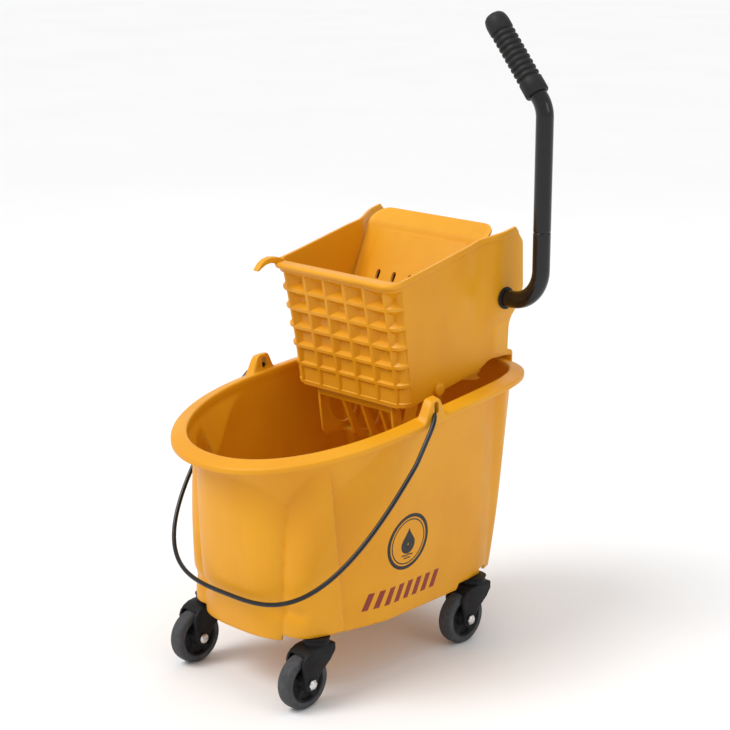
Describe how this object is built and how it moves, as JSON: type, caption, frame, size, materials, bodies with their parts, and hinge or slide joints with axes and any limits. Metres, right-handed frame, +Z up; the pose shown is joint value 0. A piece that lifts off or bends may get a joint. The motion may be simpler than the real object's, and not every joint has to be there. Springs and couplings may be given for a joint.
{
  "type": "mop bucket with side-press wringer",
  "caption": "Wheeled plastic mop bucket with a wire bail and a lift-off side-press wringer whose long handle turns a geared press plate.",
  "frame": {"origin": "on the floor under the middle of the object's bounding box", "axes": "+Z up, -Y towards the rounded nose, +X towards the side with the press handle"},
  "size_m": [0.3874, 0.5184, 0.878],
  "materials": {
    "yellow_plastic": "semi-gloss moulded polypropylene",
    "black_plastic": "satin moulded nylon",
    "grey_tread": "matte non-marking tread",
    "black_rubber": "matte ribbed grip",
    "black_steel": "gloss black powder coat",
    "zinc_steel": "bright zinc plate"
  },
  "bodies": {
    "bucket": {"bucket_shell": "yellow_plastic", "caster_socket_front_left": "black_plastic", "caster_socket_front_right": "black_plastic", "caster_socket_rear_left": "black_plastic", "caster_socket_rear_right": "black_plastic"},
    "bail": {"bail_wire": "black_steel"},
    "wringer": {"wringer_housing": "yellow_plastic", "drain_grate": "yellow_plastic", "shaft_bushing_left": "black_plastic", "shaft_bushing_right": "black_plastic", "plate_hinge_pin": "zinc_steel", "hinge_pin_clip_left": "zinc_steel", "hinge_pin_clip_right": "zinc_steel", "return_spring": "zinc_steel", "rim_hanger_left": "yellow_plastic", "rim_hanger_right": "yellow_plastic"},
    "press_handle": {"cross_shaft": "zinc_steel", "shaft_retaining_ring": "zinc_steel", "drive_gear_left": "black_plastic", "drive_gear_right": "black_plastic", "handle_elbow_tube": "black_steel", "handle_upper_tube": "black_steel", "handle_grip": "black_rubber"},
    "press_plate": {"press_plate": "yellow_plastic", "plate_sector_left": "yellow_plastic", "plate_sector_right": "yellow_plastic"},
    "caster_front_left": {"caster_fork_front_left": "black_plastic", "axle_bolt_front_left": "zinc_steel", "axle_nut_front_left": "zinc_steel"},
    "wheel_front_left": {"wheel_hub_front_left": "black_plastic", "wheel_tread_front_left": "grey_tread"},
    "caster_front_right": {"caster_fork_front_right": "black_plastic", "axle_bolt_front_right": "zinc_steel", "axle_nut_front_right": "zinc_steel"},
    "wheel_front_right": {"wheel_hub_front_right": "black_plastic", "wheel_tread_front_right": "grey_tread"},
    "caster_rear_left": {"caster_fork_rear_left": "black_plastic", "axle_bolt_rear_left": "zinc_steel", "axle_nut_rear_left": "zinc_steel"},
    "wheel_rear_left": {"wheel_hub_rear_left": "black_plastic", "wheel_tread_rear_left": "grey_tread"},
    "caster_rear_right": {"caster_fork_rear_right": "black_plastic", "axle_bolt_rear_right": "zinc_steel", "axle_nut_rear_right": "zinc_steel"},
    "wheel_rear_right": {"wheel_hub_rear_right": "black_plastic", "wheel_tread_rear_right": "grey_tread"}
  },
  "joints": [
    {"name": "bail_swing", "type": "hinge", "parent": "bucket", "child": "bail", "pos_m": [-0.00335, -0.0015, 0.3795], "axis": [-1, 0, 0], "range_deg": [0, 145]},
    {"name": "swivel_front_left", "type": "hinge", "parent": "bucket", "child": "caster_front_left", "pos_m": [-0.11035, -0.1585, 0.0915], "axis": [0, 0, 1], "continuous": true},
    {"name": "roll_front_left", "type": "hinge", "parent": "caster_front_left", "child": "wheel_front_left", "pos_m": [-0.11035, -0.1845, 0.03768], "axis": [1, 0, 0], "continuous": true},
    {"name": "swivel_front_right", "type": "hinge", "parent": "bucket", "child": "caster_front_right", "pos_m": [0.10365, -0.1585, 0.0915], "axis": [0, 0, 1], "continuous": true},
    {"name": "roll_front_right", "type": "hinge", "parent": "caster_front_right", "child": "wheel_front_right", "pos_m": [0.10365, -0.1845, 0.03768], "axis": [1, 0, 0], "continuous": true},
    {"name": "swivel_rear_left", "type": "hinge", "parent": "bucket", "child": "caster_rear_left", "pos_m": [-0.11535, 0.1475, 0.0915], "axis": [0, 0, 1], "continuous": true},
    {"name": "roll_rear_left", "type": "hinge", "parent": "caster_rear_left", "child": "wheel_rear_left", "pos_m": [-0.11535, 0.1215, 0.03768], "axis": [1, 0, 0], "continuous": true},
    {"name": "swivel_rear_right", "type": "hinge", "parent": "bucket", "child": "caster_rear_right", "pos_m": [0.10865, 0.1475, 0.0915], "axis": [0, 0, 1], "continuous": true},
    {"name": "roll_rear_right", "type": "hinge", "parent": "caster_rear_right", "child": "wheel_rear_right", "pos_m": [0.10865, 0.1215, 0.03768], "axis": [1, 0, 0], "continuous": true},
    {"name": "wringer_lift", "type": "slide", "parent": "bucket", "child": "wringer", "axis": [0, 0, 1], "range_m": [0, 0.12]},
    {"name": "handle_press", "type": "hinge", "parent": "wringer", "child": "press_handle", "pos_m": [-0.00335, 0.1925, 0.49], "axis": [-1, 0, 0], "range_deg": [0, 80], "stiffness_Nm_per_rad": 0.9, "springref_deg": -34.38},
    {"name": "plate_press", "type": "hinge", "parent": "wringer", "child": "press_plate", "pos_m": [-0.00335, 0.0734, 0.3807], "axis": [1, 0, 0], "range_deg": [0, 40]}
  ],
  "couplings": [
    {"joint": "plate_press", "follows": "handle_press", "ratio": 0.5}
  ]
}
